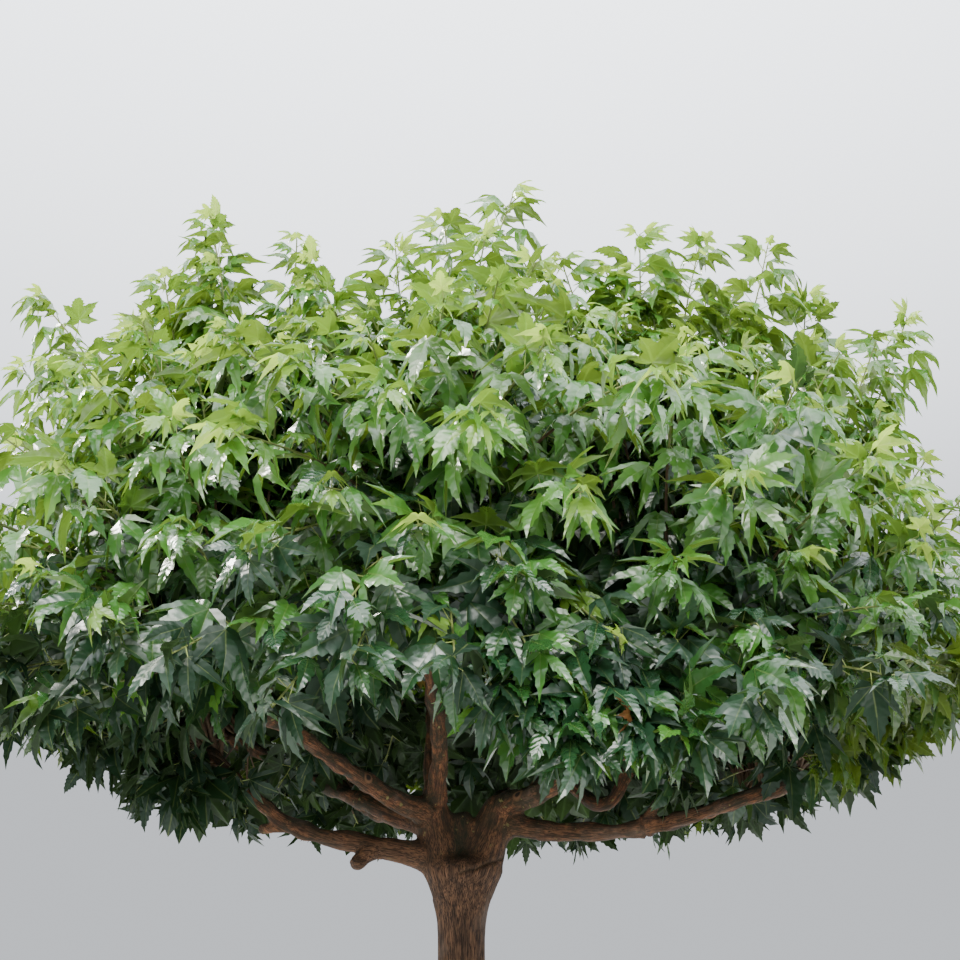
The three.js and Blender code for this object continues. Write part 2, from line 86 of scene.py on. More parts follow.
ARMS = [
    dict(name="arm_left", start=(-0.062, 0, 1.935), azimuth=200, reach=0.07, rise=0.315,
         root=0.104, tip=0.074),
    dict(name="arm_right", start=(0.08, 0, 1.935), azimuth=5, reach=0.122, rise=0.335,
         root=0.106, tip=0.076),
]
BOUGHS = [
    dict(name="bough_left", on="arm_left", at=0.18, azimuth=189, reach=1.05, rise=0.43,
         sag=0.12, wave=0.03, swing=0.02, root=0.06, crown=189),
    dict(name="bough_right", on="arm_right", at=0.7, azimuth=343, reach=1.26, rise=0.11,
         sag=0.11, swing=0.025, root=0.05, crown=344),
    dict(name="bough_front_left", on="arm_left", at=0.81, azimuth=231, reach=1.06, rise=0.32,
         sag=0.025, swing=-0.02, root=0.052, crown=231),
    dict(name="bough_front_right", on="arm_right", at=0.9, azimuth=306, reach=1.03, rise=0.16,
         sag=0, swing=0.025, root=0.048, crown=303),
    dict(name="bough_front", on="arm_left", at=0.9, azimuth=272, reach=0.99, rise=0.73,
         sag=-0.04, swing=0.025, root=0.044, crown=268),
    dict(name="bough_back_left", on="arm_left", at=0.62, azimuth=150, reach=1.23, rise=0.52,
         sag=0.025, swing=0.02, root=0.05, crown=152),
    dict(name="bough_back_right", on="arm_right", at=0.86, azimuth=46, reach=1.11, rise=0.42,
         sag=-0.02, swing=-0.03, root=0.05, crown=50),
    dict(name="bough_back", on="arm_right", at=0.73, azimuth=88, reach=1.2, rise=0.4,
         sag=0.03, swing=0.03, root=0.046, crown=84),
    dict(name="bough_back_mid", on="arm_left", at=0.68, azimuth=119, reach=1.2, rise=0.33,
         sag=0.06, swing=-0.025, root=0.046, crown=118),
    dict(name="bough_right_back", on="bough_right", at=0.55, azimuth=38, reach=0.68, rise=0.18,
         sag=0.015, swing=0.01, root=0.036, crown=16),
    dict(name="bough_right_curl", on="bough_back_right", at=0.42, azimuth=332, reach=0.5,
         rise=0.6, sag=0.16, late=3.8, swing=0.015, root=0.038, crown=330, heart=True),
    dict(name="bough_top_left", on="arm_left", at=0.95, azimuth=95, reach=0.26, rise=0.85,
         sag=-0.02, root=0.044, crown=160, heart=True),
    dict(name="bough_top_right", on="arm_right", at=0.97, azimuth=25, reach=0.42, rise=0.72,
         late=2.6, swing=-0.02, root=0.044, crown=50, heart=True),
]
LIMBS = {limb["name"]: limb for limb in ARMS + BOUGHS}

# Short pruned stubs and round pruning scars: the limb, the place along it, and the way each faces.
STUBS = [
    dict(on="bough_front", at=0.44, azimuth=15, slope=0.7, length=0.1, radius=0.014),
    dict(on="bough_left", at=0.66, azimuth=170, slope=-0.1, length=0.13, radius=0.022),
    dict(on="bough_left", at=0.3, azimuth=215, slope=-0.75, length=0.1, radius=0.034),
    dict(on="bough_right", at=0.55, azimuth=330, slope=1.6, length=0.11, radius=0.026),
    dict(on="bough_back_right", at=0.6, azimuth=100, slope=0.8, length=0.09, radius=0.02),
    dict(on="bough_back", at=0.5, azimuth=60, slope=0.6, length=0.09, radius=0.02),
]
SCARS = [
    dict(on="bough_front_left", at=0.42, azimuth=285, slope=0.3, radius=0.022),
    dict(on="bough_front_right", at=0.12, azimuth=262, slope=0.4, radius=0.024),
    dict(on="arm_right", at=0.6, azimuth=20, slope=0.3, radius=0.026),
    dict(on="bough_back_mid", at=0.4, azimuth=40, slope=0.5, radius=0.028),
    dict(on="bough_back_left", at=0.55, azimuth=60, slope=0.5, radius=0.028),
]

SCAR_LENGTH = 0.014

# The cleft between the arms, and the crease under the right arm, both painted darker in the moss colour.
CLEFT = [(0.012, -0.1, 1.98), (0.004, -0.03, 2.2)]
CLEFT_FILL = [(0.012, 0.0, 1.9), (0.008, 0.0, 2.22)]
CLEFT_RADII = [0.085, 0.085, 0.085, 0.08, 0.075, 0.068, 0.058, 0.035]
CREASE = [(0.01, 1.93), (0.07, 1.945), (0.14, 1.98), (0.22, 2.005)]
FORK_SOFTENING = 60

# Crown, as in the source.
CROWN_RADIUS = 2.4
RIM_HEIGHT = 3.0
CROWN_RISE = 1.62
FRONT_DROP = 0.28
SHOULDER = 2.4
SKIRT_HEIGHT = 2.02
SKIRT_RISE = 0.78
FRONT_HEADING = 268
FRONT_HANG = 0.62
FRONT_LIFT = 0.75
MIDDLE_LIFT = 0.7
MIDDLE_RADIUS = 0.8
LEFT_HEADING = 188
LEFT_LIFT = 0.2
LEFT_RADIUS = 1.95
LEFT_BAND = 0.45
RING_RADIUS = 1.5
HEART_RADIUS = 0.52
SPIRES = [
    (211, 2.11, 4.33), (224, 1.72, 4.35), (230, 1.63, 4.62), (244, 1.5, 4.43), (261, 1.52, 4.28),
    (268, 1.45, 4.45), (280, 1.37, 4.66), (299, 1.55, 4.45), (309, 1.62, 4.48), (321, 1.74, 4.58),
    (333, 2.2, 4.28),
]
BACK_SPIRES = 8
BACK_SPIRE_START = 350
BACK_SPIRE_STEP = 24
SPIRE_LEAF = 0.05
HANGING = [
    (275, 2.2, 2.22), (278, 2.22, 2.19), (280, 2.22, 2.12), (283.5, 2.26, 2.17), (286.5, 2.28, 2.17),
    (193, 1.25, 2.17), (198, 1.15, 2.14), (204, 1.0, 2.17), (208, 1.3, 2.2),
    (100, 1.6, 2.72), (103, 1.9, 2.75), (105, 2.15, 2.8),
]

# More shoots behind the middle bough, where the spread of tips would leave a gap.
PATCHES = [
    (98, 2.2, 3.0), (102, 2.28, 3.1), (106, 2.2, 2.95), (101, 1.9, 3.1), (104, 1.7, 2.95), (97, 1.4, 2.85),
]
SEED = 20

# Shoots: the source's rule, carried to many more.
SHOOTS = 460
SKIRT_SHOOTS = 165
SKIRT_RADIUS = 2.36
SHOOT_CROWDING = 1.4
SHOOT_CENTRE = 2.6
SHOOT_SHORTFALL = 0.13
SPREAD = 1.035
SHOOT_SHORTEST = 0.3
SHOOT_BOW = 0.1
SHOOT_LIFT = 0.02
SHOOT_STEPS = 9
LOWEST_SLOPE = -0.3
MARCH = 0.02
STEM_LENGTH = 0.19

# Leaves.
LEAF_STEP = 0.05
LEAF_LENGTH = 0.183
LEAF_BREADTH = 1.1
BARE_SHARE = 0.16
YOUNG_LENGTH = 0.2
RIM_TIP = 2.6
RIM_STEP = 1.25
SPIRE_TIP = 4.2
SPIRE_STEP = 0.7
MOST_LEAVES = 200

# The photo's camera: its focal length and width in pixels, its place and its tilt.
FOCAL_PIXELS = 1100
PHOTO_PIXELS = 960
SENSOR = 36
EYE = (0.095, -5.2, 1.6)
TILT = 107.9
SHIFT = 0.12


class Source:
    """The source's repeatable random numbers."""

    def __init__(self, seed):
        self.state = seed & 0xFFFFFFFF

    def __call__(self):
        self.state = (self.state * 1664525 + 1013904223) & 0xFFFFFFFF
        return self.state / 4294967296


def unit(vector):
    return vector / np.linalg.norm(vector, axis=-1, keepdims=True)


def run_along(line):
    """The distance along a line at each of its points."""
    return np.concatenate([[0], np.cumsum(np.linalg.norm(np.diff(line, axis=0), axis=1))])


def points_at(line, run, where):
    """Points of a line at distances, or shares, along it."""
    return np.stack([np.interp(where, run, line[:, i]) for i in range(3)], axis=-1)


def heading(degrees):
    angle = math.radians(degrees)
    return np.array([math.cos(angle), math.sin(angle), 0.0])


def limb_point(limb, t):
    """Points of a limb's centre line at shares t of its length."""
    t = np.atleast_1d(np.asarray(t, dtype=float))[:, None]
    if "start" in limb:
        start = np.array(limb["start"], dtype=float)
    else:
        start = limb_point(LIMBS[limb["on"]], limb["at"])[0]
    out = heading(limb["azimuth"])
    side = heading(limb["azimuth"] + 90)
    lift = limb["rise"] * t ** limb.get("late", 1)
    lift = lift - limb.get("sag", 0) * np.sin(math.pi * t)
    lift = lift + limb.get("wave", 0) * np.sin(2 * math.pi * t)
    bend = limb.get("swing", 0) * np.sin(2 * math.pi * t)
    return start + out * limb["reach"] * t + side * bend + UP * lift


def limb_radius(limb, t):
    tip = limb.get("tip", TIP_RADIUS)
    return limb["root"] + (tip - limb["root"]) * np.asarray(t) ** 0.8


def trunk_axis(height):
    height = np.asarray(height, dtype=float)
    return np.stack([LEAN * height / FORK_HEIGHT, 0 * height, height], axis=-1)


def trunk_size(height, angle):
    """Half widths of the trunk across and deep, at a height and an angle round it."""
    flare = np.exp(-height / FLARE_HEIGHT)
    lobes = 1 + FLARE_LOBE_DEPTH * flare * np.cos(FLARE_LOBES * angle + 0.6)
    level = np.minimum(height, FORK_HEIGHT)
    column = (TRUNK_RADIUS - TRUNK_TAPER * level + FLARE_SPREAD * flare) * lobes
    share = np.clip((level - HEAD_START) / (FORK_HEIGHT - HEAD_START), 0, 1)
    spread = HEAD_SPREAD * share * share
    return column + spread, column + spread * HEAD_DEPTH


# Crown and shoots

SPACES = np.array([
    heading(bough["crown"]) * (HEART_RADIUS if bough.get("heart") else RING_RADIUS)
    for bough in BOUGHS
])[:, :2]


def radius_of(points):
    return np.maximum(np.hypot(points[:, 0], points[:, 1]), 1e-6)


def way_share(points, degrees):
    """How much the way from the axis to each point is the way of a heading, from 0 to 1."""
    return np.clip(points[:, :2] @ heading(degrees)[:2] / radius_of(points), 0, None)


def front_share(points):
    return way_share(points, FRONT_HEADING)


def hem_height(points):
    """Height of the crown's hem, which hangs lower at the front rim."""
    share = radius_of(points) / CROWN_RADIUS
    return SKIRT_HEIGHT + SKIRT_RISE * share ** 3 - FRONT_HANG * front_share(points) * share ** 4


def underside_lift(points):
    """How much higher than the hem the underside is, behind the front rim, towards the left rim
    and in the middle."""
    radius = radius_of(points)
    front = FRONT_LIFT * front_share(points) ** 2 * (1 - (radius / CROWN_RADIUS) ** 3)
    band = np.exp(-((radius - LEFT_RADIUS) / LEFT_BAND) ** 2)
    left = LEFT_LIFT * way_share(points, LEFT_HEADING) ** 6 * band
    middle = MIDDLE_LIFT * np.exp(-(radius / MIDDLE_RADIUS) ** 2)
    return np.maximum(np.maximum(front, left), middle)


def top_height(points):
    """Height of the crown's upper surface, which is lower in front."""
    radius = radius_of(points)
    share = np.clip(radius / CROWN_RADIUS, 0, 1) ** SHOULDER
    facing = np.clip(-points[:, 1] / radius, 0, None)
    return RIM_HEIGHT + (CROWN_RISE - FRONT_DROP * facing ** 2) * np.sqrt(1 - share)


def above_hem(points):
    inside = radius_of(points) <= CROWN_RADIUS
    return inside & (points[:, 2] > hem_height(points)) & (points[:, 2] < top_height(points))


def space_of(point):
    """The mass whose column of space a point lies in."""
    return int(np.argmin(((SPACES - point[:2]) ** 2).sum(axis=1)))


def spire_tips(source):
    spires = list(SPIRES)
    for k in range(BACK_SPIRES):
        radius = 1.45 + 0.55 * source()
        height = 4.25 + 0.35 * source()
        spires.append((BACK_SPIRE_START + BACK_SPIRE_STEP * k, radius, height))
    for azimuth, radius, height in list(spires):
        for turn in (-1, 1):
            beside = azimuth + turn * (3 + 5 * source())
            spires.append((beside, radius - 0.3 + 0.5 * source(), height - 0.12 - 0.28 * source()))
    return [heading(a) * r + UP * (h - SPIRE_LEAF) for a, r, h in spires]


def furthest(direction):
    """The furthest point from the crown's middle along a direction that is still above the hem,
    raised to the crown's underside."""
    steps = np.arange(0, 4, MARCH)[:, None]
    points = UP * SHOOT_CENTRE + direction * steps
    tip = points[np.argmin(above_hem(points)) - 1][None]
    return np.array([tip[0, 0], tip[0, 1], max(tip[0, 2], (hem_height(tip) + underside_lift(tip))[0])])


def shoot_tips():
    source = Source(SEED)
    tips = spire_tips(source)
    for azimuth, radius, height in HANGING + PATCHES:
        for turn in (-1.5, 0, 1.5) if radius > 1.5 else (0,):
            place = heading(azimuth + turn) * (radius - 0.05 * abs(turn) * source())
            tips.append(place + UP * (height + 0.05 * source() * abs(turn)))
    middle = UP * SHOOT_CENTRE
    for k in range(SHOOTS):
        slope = 1 - ((k + 0.5) / SHOOTS) ** SHOOT_CROWDING * (1 - LOWEST_SLOPE)
        flat = math.sqrt(1 - slope * slope)
        angle = k * GOLDEN
        tip = furthest(np.array([flat * math.cos(angle), flat * math.sin(angle), slope]))
        tip = tip * [SPREAD, SPREAD, 1]
        tips.append(tip + (middle - tip) * SHOOT_SHORTFALL * source())
    for k in range(SKIRT_SHOOTS):
        radius = math.sqrt(0.03 + 0.97 * (k + 0.5) / SKIRT_SHOOTS) * SKIRT_RADIUS
        place = heading(math.degrees(k * GOLDEN))[None] * radius
        height = (hem_height(place) + underside_lift(place))[0]
        tips.append(place[0] + UP * (height + 0.05 + 0.12 * source()))
    return tips


def shoot_lines():
    """The line of each shoot, from the stem of its mass to its tip."""
    rng = np.random.default_rng(SEED)
    lines = []
    for tip in shoot_tips():
        bough = BOUGHS[space_of(tip)]
        end = limb_point(bough, [0.98, 1.0])
        along = unit(end[1] - end[0])
        root = end[1] + along * STEM_LENGTH * rng.uniform(-0.25, 0.95)
        length = np.linalg.norm(tip - root)
        if length < SHOOT_SHORTEST:
            continue
        level = np.hypot(*(tip - root)[:2])
        t = np.linspace(0, 1, SHOOT_STEPS + 1)[:, None]
        lift = (SHOOT_BOW * level + SHOOT_LIFT * length) * np.sin(math.pi * t)
        wander = rng.normal(0, 0.012 * length, 3) * np.sin(math.pi * t)
        wander = wander + rng.normal(0, 0.007 * length, 3) * np.sin(2 * math.pi * t)
        line = root + (tip - root) * t + UP * lift + wander
        if clear_of_limbs(points_at(line, t[:, 0], np.linspace(0.15, 1, 40)), 0.012).all():
            lines.append(line)
    return lines


def clear_of_limbs(points, margin):
    """Whether each point is clear of the trunk and every limb by a margin."""
    clear = np.empty(len(points), dtype=bool)
    centres, _, radii, _ = limb_frames()
    for start in range(0, len(points), 4000):
        gap = np.linalg.norm(points[start:start + 4000, None] - centres[None], axis=2) - radii
        clear[start:start + 4000] = gap.min(axis=1) > margin
    return clear


# Meshes from arrays

def mesh_piece(name, points, faces, smooth=True):
    """A mesh object from an array of points and an array of triangles or quads."""
    points = np.ascontiguousarray(points, dtype=np.float32)
    faces = np.ascontiguousarray(faces, dtype=np.int32)
    count, corners = faces.shape
    mesh = bpy.data.meshes.new(name)
    mesh.vertices.add(len(points))
    mesh.vertices.foreach_set("co", points.ravel())
    mesh.loops.add(count * corners)
    mesh.loops.foreach_set("vertex_index", faces.ravel())
    mesh.polygons.add(count)
    mesh.polygons.foreach_set("loop_start", np.arange(count, dtype=np.int32) * corners)
    mesh.polygons.foreach_set("use_smooth", np.full(count, smooth))
    mesh.update(calc_edges=True)
    mesh.validate()
    piece = bpy.data.objects.new(name, mesh)
    bpy.context.scene.collection.objects.link(piece)
    return piece


def points_of(mesh):
    points = np.empty(len(mesh.vertices) * 3, dtype=np.float32)
    mesh.vertices.foreach_get("co", points)
    return points.reshape(-1, 3).astype(float)


def move_points(mesh, points):
    mesh.vertices.foreach_set("co", points.astype(np.float32).ravel())


def edges_of(mesh):
    """The two points of each edge of a mesh."""
    edges = np.empty(len(mesh.edges) * 2, dtype=np.int32)
    mesh.edges.foreach_get("vertices", edges)
    return edges.reshape(-1, 2)


def store(mesh, name, kind, domain, values):
    """Keeps values on a mesh under a name, one for each point, edge or corner."""
    layer = mesh.attributes.new(name, kind, domain)
    values = np.asarray(values, dtype=bool if kind == "BOOLEAN" else np.float32)
    layer.data.foreach_set("vector" if kind == "FLOAT_VECTOR" else "value", values.ravel())


def dress(piece, material, nodes):
    piece.data.materials.append(material)
    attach(piece, "root")
    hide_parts(*nodes)


def ring_quads(rings, sides):
    """Quads between rings of points that follow each other."""
    base = np.arange(rings - 1)[:, None] * sides
    j = np.arange(sides)
    k = (j + 1) % sides
    quads = np.stack([base + j, base + k, base + sides + k, base + sides + j], axis=-1)
    return quads.reshape(-1, 4)


def tube(line, radii, sides):
    """Points and quads of an open tube round a line."""
    along = unit(np.gradient(line, axis=0))
    across = np.cross(along, UP if abs(along[0][2]) < 0.9 else np.array([1.0, 0, 0]))
    for i in range(1, len(line)):
        flat = across[i - 1] - along[i] * (across[i - 1] @ along[i])
        across[i] = flat
    across = unit(across)
    over = np.cross(along, across)
    angle = 2 * math.pi * np.arange(sides) / sides
    spokes = across[:, None] * np.cos(angle)[:, None] + over[:, None] * np.sin(angle)[:, None]
    points = line[:, None] + spokes * np.asarray(radii)[:, None, None]
    return points.reshape(-1, 3), ring_quads(len(line), sides)


def joined(parts):
    """One array of points and one of faces from several."""
    points, faces, start = [], [], 0
    for part_points, part_faces in parts:
        points.append(part_points)
        faces.append(part_faces + start)
        start += len(part_points)
    return np.concatenate(points), np.concatenate(faces)


# Bark

def lattice_noise(points, seed):
    """Smooth noise between -1 and 1 at 3-D points."""
    rng = np.random.default_rng(seed)
    table = rng.uniform(-1, 1, 4096)
    cell = np.floor(points).astype(np.int64)
    part = points - cell
    part = part * part * (3 - 2 * part)
    total = np.zeros(len(points))
    for corner in range(8):
        bits = np.array([corner & 1, corner >> 1 & 1, corner >> 2 & 1])
        at = cell + bits
        key = (at[:, 0] * 73856093 ^ at[:, 1] * 19349663 ^ at[:, 2] * 83492791) % 4096
        weight = np.prod(np.where(bits == 1, part, 1 - part), axis=1)
        total += weight * table[key]
    return total


def closed(points, quads, sides, ends):
    """A tube closed by a fan round one more point at each end, all in triangles."""
    last = len(points) - sides
    foot, top = len(points), len(points) + 1
    j = np.arange(sides)
    k = (j + 1) % sides
    foot_faces = np.stack([np.full(sides, foot), k, j], axis=1)
    top_faces = np.stack([np.full(sides, top), last + j, last + k], axis=1)
    faces = [quads[:, [0, 1, 2]], quads[:, [0, 2, 3]], foot_faces, top_faces]
    return np.concatenate([points, np.stack(ends)]), np.concatenate(faces)


def closed_tube(line, radii, sides):
    points, quads = tube(line, radii, sides)
    return closed(points, quads, sides, [points[:sides].mean(axis=0), points[-sides:].mean(axis=0)])


def trunk_shell():
    head_heights, head_sizes = zip(*HEAD_RINGS)
    heights = np.concatenate([np.linspace(0, FORK_HEIGHT, TRUNK_RINGS), head_heights])
    shrink = np.concatenate([np.ones(TRUNK_RINGS), head_sizes])
    sides = 72
    angle = 2 * math.pi * np.arange(sides) / sides
    rings = []
    for height, size in zip(heights, shrink):
        wide, deep = trunk_size(height, angle)
        ring = np.stack([wide * size * np.cos(angle), deep * size * np.sin(angle), 0 * angle], 1)
        rings.append(trunk_axis(height) + ring)
    quads = ring_quads(len(heights), sides)
    return closed(np.concatenate(rings), quads, sides, [trunk_axis(0.0), trunk_axis(HEAD_TOP)])


def spur_line(spur, length):
    """The line of a stub or scar, from inside its limb outwards."""
    limb = LIMBS[spur["on"]]
    root = limb_point(limb, spur["at"])[0]
    way = unit(heading(spur["azimuth"]) + UP * spur["slope"])
    reach = float(limb_radius(limb, spur["at"])) + length
    return root + way * reach * np.linspace(0, 1, 8)[:, None]


def limb_shell(limb):
    t = np.linspace(0, 1, LIMB_STEPS)
    line = limb_point(limb, t)
    radii = limb_radius(limb, t)
    if limb in BOUGHS:
        carrier = float(limb_radius(LIMBS[limb["on"]], limb["at"]))
        past = np.clip(run_along(line) - carrier, 0, None)
        radii = radii * (1 + COLLAR * np.exp(-past / COLLAR_LENGTH))
        along = unit(line[-1] - line[-2])
        knob, knob_radii = np.array(KNOB).T
        line = np.concatenate([line, line[-1] + along * knob[:, None]])
        radii = np.concatenate([radii * (1 + 0.55 * t ** 14), knob_radii])
    return closed_tube(line, radii, 20)


@functools.cache
def limb_frames():
    """Samples of every limb's centre line: points, distance along, radius and direction.
    A limb's distances start beyond the trunk's, so that their grain isn't alike."""
    beyond = 3.0
    heights = np.linspace(0, FORK_HEIGHT, TRUNK_STEPS)
    rows = [(trunk_axis(heights), heights, np.full(TRUNK_STEPS, TRUNK_MEAN_RADIUS))]
    for limb in ARMS + BOUGHS:
        t = np.linspace(0, 1, LIMB_STEPS)
        line = limb_point(limb, t)
        rows.append((line, run_along(line) + beyond, limb_radius(limb, t)))
    points, along, radii = (np.concatenate(column) for column in zip(*rows))
    ways = np.concatenate([unit(np.gradient(line, axis=0)) for line, _, _ in rows])
    return points, along, radii, ways


def grain_of(points):
    """Coordinates that run along each limb's grain, and the distance from its centre line."""
    centres, along, radii, ways = limb_frames()
    grain = np.empty_like(points)
    for start in range(0, len(points), 20000):
        chunk = points[start:start + 20000]
        gap = np.linalg.norm(chunk[:, None] - centres[None], axis=2)
        near = np.argmin(gap - radii, axis=1)
        offset = chunk - centres[near]
        way = ways[near]
        ahead = (offset * way).sum(axis=1)
        across = offset - way * ahead[:, None]
        level = np.where(np.abs(way[:, 2:3]) < 0.9, UP, np.array([1.0, 0, 0]))
        first = unit(np.cross(way, level))
        second = np.cross(way, first)
        grain[start:start + 20000] = np.stack(
            [(across * first).sum(axis=1), (across * second).sum(axis=1), along[near] + ahead], axis=1
        )
    return grain


def relaxed(skin, points):
    """The skin's points after smoothing, which is light on the limbs and strong in the forks."""
    a, b = edges_of(skin).T
    count = len(points)
    degree = np.bincount(a, minlength=count) + np.bincount(b, minlength=count)
    fork = np.exp(-(np.linalg.norm(points - [0.01, 0, 1.99], axis=1) / 0.2) ** 2)
    for bough in BOUGHS:
        start = limb_point(bough, 0)[0]
        size = float(limb_radius(LIMBS[bough["on"]], bough["at"])) + 0.045
        fork = np.maximum(fork, 0.8 * np.exp(-(np.linalg.norm(points - start, axis=1) / size) ** 2))
    for turn in range(FORK_SOFTENING):
        amount = 0.5 * (fork if turn > 5 else 1)
        mean = np.stack([
            np.bincount(a, points[b, i], count) + np.bincount(b, points[a, i], count) for i in range(3)
        ], axis=1) / degree[:, None]
        points = points + (mean - points) * np.reshape(amount, (-1, 1))
    return points


def near_line(points, start, end, width):
    """1 on a line and 0 beyond about its width, for points in front."""
    start, end = np.array(start), np.array(end)
    way = end - start
    share = np.clip((points - start) @ way / (way @ way), 0, 1)
    gap = np.linalg.norm(points - start - share[:, None] * way, axis=1)
    return np.exp(-(gap / width) ** 2)


def crease_mask(points):
    """1 along the crease that runs across the front under the right arm."""
    front = points[:, [0, 2]] + 0.006 * lattice_noise(points * 25, 6)[:, None]
    crease = np.max([near_line(front, a, b, 0.0075) for a, b in zip(CREASE, CREASE[1:])], axis=0)
    return crease * (points[:, 1] < -0.02)


def dark_cleft_mask(points):
    """1 in the cleft between the arms, and most of that along the crease: where the bark is darker, in the
    moss colour.
    """
    cleft = near_line(points, CLEFT[0], CLEFT[1], 0.045)
    return np.maximum(np.clip(cleft * 1.3, 0, 1), 0.75 * crease_mask(points))


def bark_shell():
    """The trunk, arms, boughs, stubs and scars as closed tubes that run into each other."""
    parts = [trunk_shell()]
    parts += [limb_shell(limb) for limb in ARMS + BOUGHS]
    low, high = np.array(CLEFT_FILL)
    fill = low + (high - low) * np.linspace(0, 1, len(CLEFT_RADII))[:, None]
    parts.append(closed_tube(fill, CLEFT_RADII, 20))
    for stub in STUBS:
        line = spur_line(stub, stub["length"])
        radii = stub["radius"] * np.array([1.5, 1.45, 1.35, 1.2, 1.05, 1.0, 1.1, 0.75])
        parts.append(closed_tube(line, radii, 14))
    for scar in SCARS:
        line = spur_line(scar, SCAR_LENGTH)
        parts.append(closed_tube(line, scar["radius"] * np.array([1, 1, 1, 1, 1, 1, 0.98, 0.8]), 14))
    return mesh_piece("bark_shell", *joined(parts))


def one_skin(shell):
    """The shell's tubes made into one skin, by voxels."""
    remesh = shell.modifiers.new("one_skin", "REMESH")
    remesh.mode = "VOXEL"
    remesh.voxel_size = SKIN_VOXEL
    graph = bpy.context.evaluated_depsgraph_get()
    skin = bpy.data.meshes.new_from_object(shell.evaluated_get(graph))
    bpy.data.objects.remove(shell)
    return skin


def bark_relief(points):
    """How far the bark stands out at each point: ridges on the trunk, lumps on the boughs."""
    grain = grain_of(points)
    near_axis = np.hypot(points[:, 0], points[:, 1]) < 0.36
    trunk_like = np.clip((2.3 - points[:, 2]) / 0.35, 0, 1) * near_axis
    ridges = 1 - np.abs(lattice_noise(grain * [44, 44, 6], 1))
    ridges = ridges + 0.4 * (1 - np.abs(lattice_noise(grain * [80, 80, 12], 2)))
    lumps = lattice_noise(grain * [13, 13, 9], 3) + 0.5 * lattice_noise(grain * [30, 30, 20], 4)
    relief = (0.0012 + 0.0028 * trunk_like) * (ridges - 0.9) + (0.0115 - 0.0085 * trunk_like) * lumps
    relief = relief - 0.009 * crease_mask(points)
    return relief * np.clip(points[:, 2] / 0.02, 0, 1)


def bark_mesh():
    """Trunk, arms, boughs, stubs and scars in one skin, with the bark's coarse relief."""
    skin = one_skin(bark_shell())
    points = relaxed(skin, points_of(skin))
    move_points(skin, points)
    skin.update()
    normals = np.empty(len(points) * 3, dtype=np.float32)
    skin.vertex_normals.foreach_get("vector", normals)
    points = points + normals.reshape(-1, 3) * bark_relief(points)[:, None]
    points[:, 2] = np.maximum(points[:, 2], 0)
    move_points(skin, points)
    bark_marks(skin, points)
    skin.polygons.foreach_set("use_smooth", np.ones(len(skin.polygons), dtype=bool))
    skin.name = "trunk_and_boughs"
    piece = bpy.data.objects.new("trunk_and_boughs", skin)
    bpy.context.scene.collection.objects.link(piece)
    return piece


def bark_marks(mesh, points):
    """What the bark's material reads at each point: the grain, the scars and the darker cleft and crease.
    """
    store(mesh, "grain", "FLOAT_VECTOR", "POINT", grain_of(points))
    store(mesh, "scar", "FLOAT", "POINT", scar_distance(points))
    store(mesh, "dark_cleft", "FLOAT", "POINT", dark_cleft_mask(points))


def scar_distance(points):
    """How far each point is from the nearest pruning scar's middle, in radii, up to 3."""
    nearest = np.full(len(points), 3.0)
    for scar in SCARS:
        centre = spur_line(scar, SCAR_LENGTH)[-1]
        nearest = np.minimum(nearest, np.linalg.norm(points - centre, axis=1) / scar["radius"])
    return nearest


# Materials

def new_material(name):
    material = bpy.data.materials.new(name)
    material.use_nodes = True
    tree = material.node_tree
    tree.nodes.clear()
    output = tree.nodes.new("ShaderNodeOutputMaterial")
    shader = tree.nodes.new("ShaderNodeBsdfPrincipled")
    tree.links.new(shader.outputs["BSDF"], output.inputs["Surface"])
    return material, tree, shader, output


def feed(tree, socket, value):
    """Links a socket to another, or sets it to a value."""
    if isinstance(value, bpy.types.NodeSocket):
        tree.links.new(value, socket)
    else:
        socket.default_value = value


def add(tree, kind, **inputs):
    """A node with its inputs fed."""
    node = tree.nodes.new(kind)
    for key, value in inputs.items():
        feed(tree, node.inputs[key], value)
    return node


def calculate(tree, operation, a, b=0.0):
    node = tree.nodes.new("ShaderNodeMath")
    node.operation = operation
    feed(tree, node.inputs[0], a)
    feed(tree, node.inputs[1], b)
    return node.outputs[0]


def times(tree, a, b):
    return calculate(tree, "MULTIPLY", a, b)


def mix_colour(tree, factor, a, b):
    node = tree.nodes.new("ShaderNodeMix")
    node.data_type = "RGBA"
    for place, value in ((0, factor), (6, a), (7, b)):
        feed(tree, node.inputs[place], value)
    return node.outputs[2]


def noise(tree, vector, scale, detail=4.0, roughness=0.55):
    return add(tree, "ShaderNodeTexNoise", Vector=vector, Scale=scale, Detail=detail,
               Roughness=roughness).outputs["Fac"]


def ramp(tree, value, low, high):
    """0 below low, 1 above high, straight between."""
    node = tree.nodes.new("ShaderNodeMapRange")
    node.inputs["From Min"].default_value = low
    node.inputs["From Max"].default_value = high
    tree.links.new(value, node.inputs["Value"])
    return node.outputs["Result"]


def attribute(tree, name, output="Fac"):
    node = tree.nodes.new("ShaderNodeAttribute")
    node.attribute_name = name
    return node.outputs[output]


def part_of(tree, vector, axis):
    """One of the three parts of a vector."""
    node = tree.nodes.new("ShaderNodeSeparateXYZ")
    tree.links.new(vector, node.inputs[0])
    return node.outputs[axis]


def roughen(tree, shader, height, strength, distance):
    node = tree.nodes.new("ShaderNodeBump")
    for key, value in (("Height", height), ("Strength", strength), ("Distance", distance)):
        feed(tree, node.inputs[key], value)
    tree.links.new(node.outputs["Normal"], shader.inputs["Normal"])


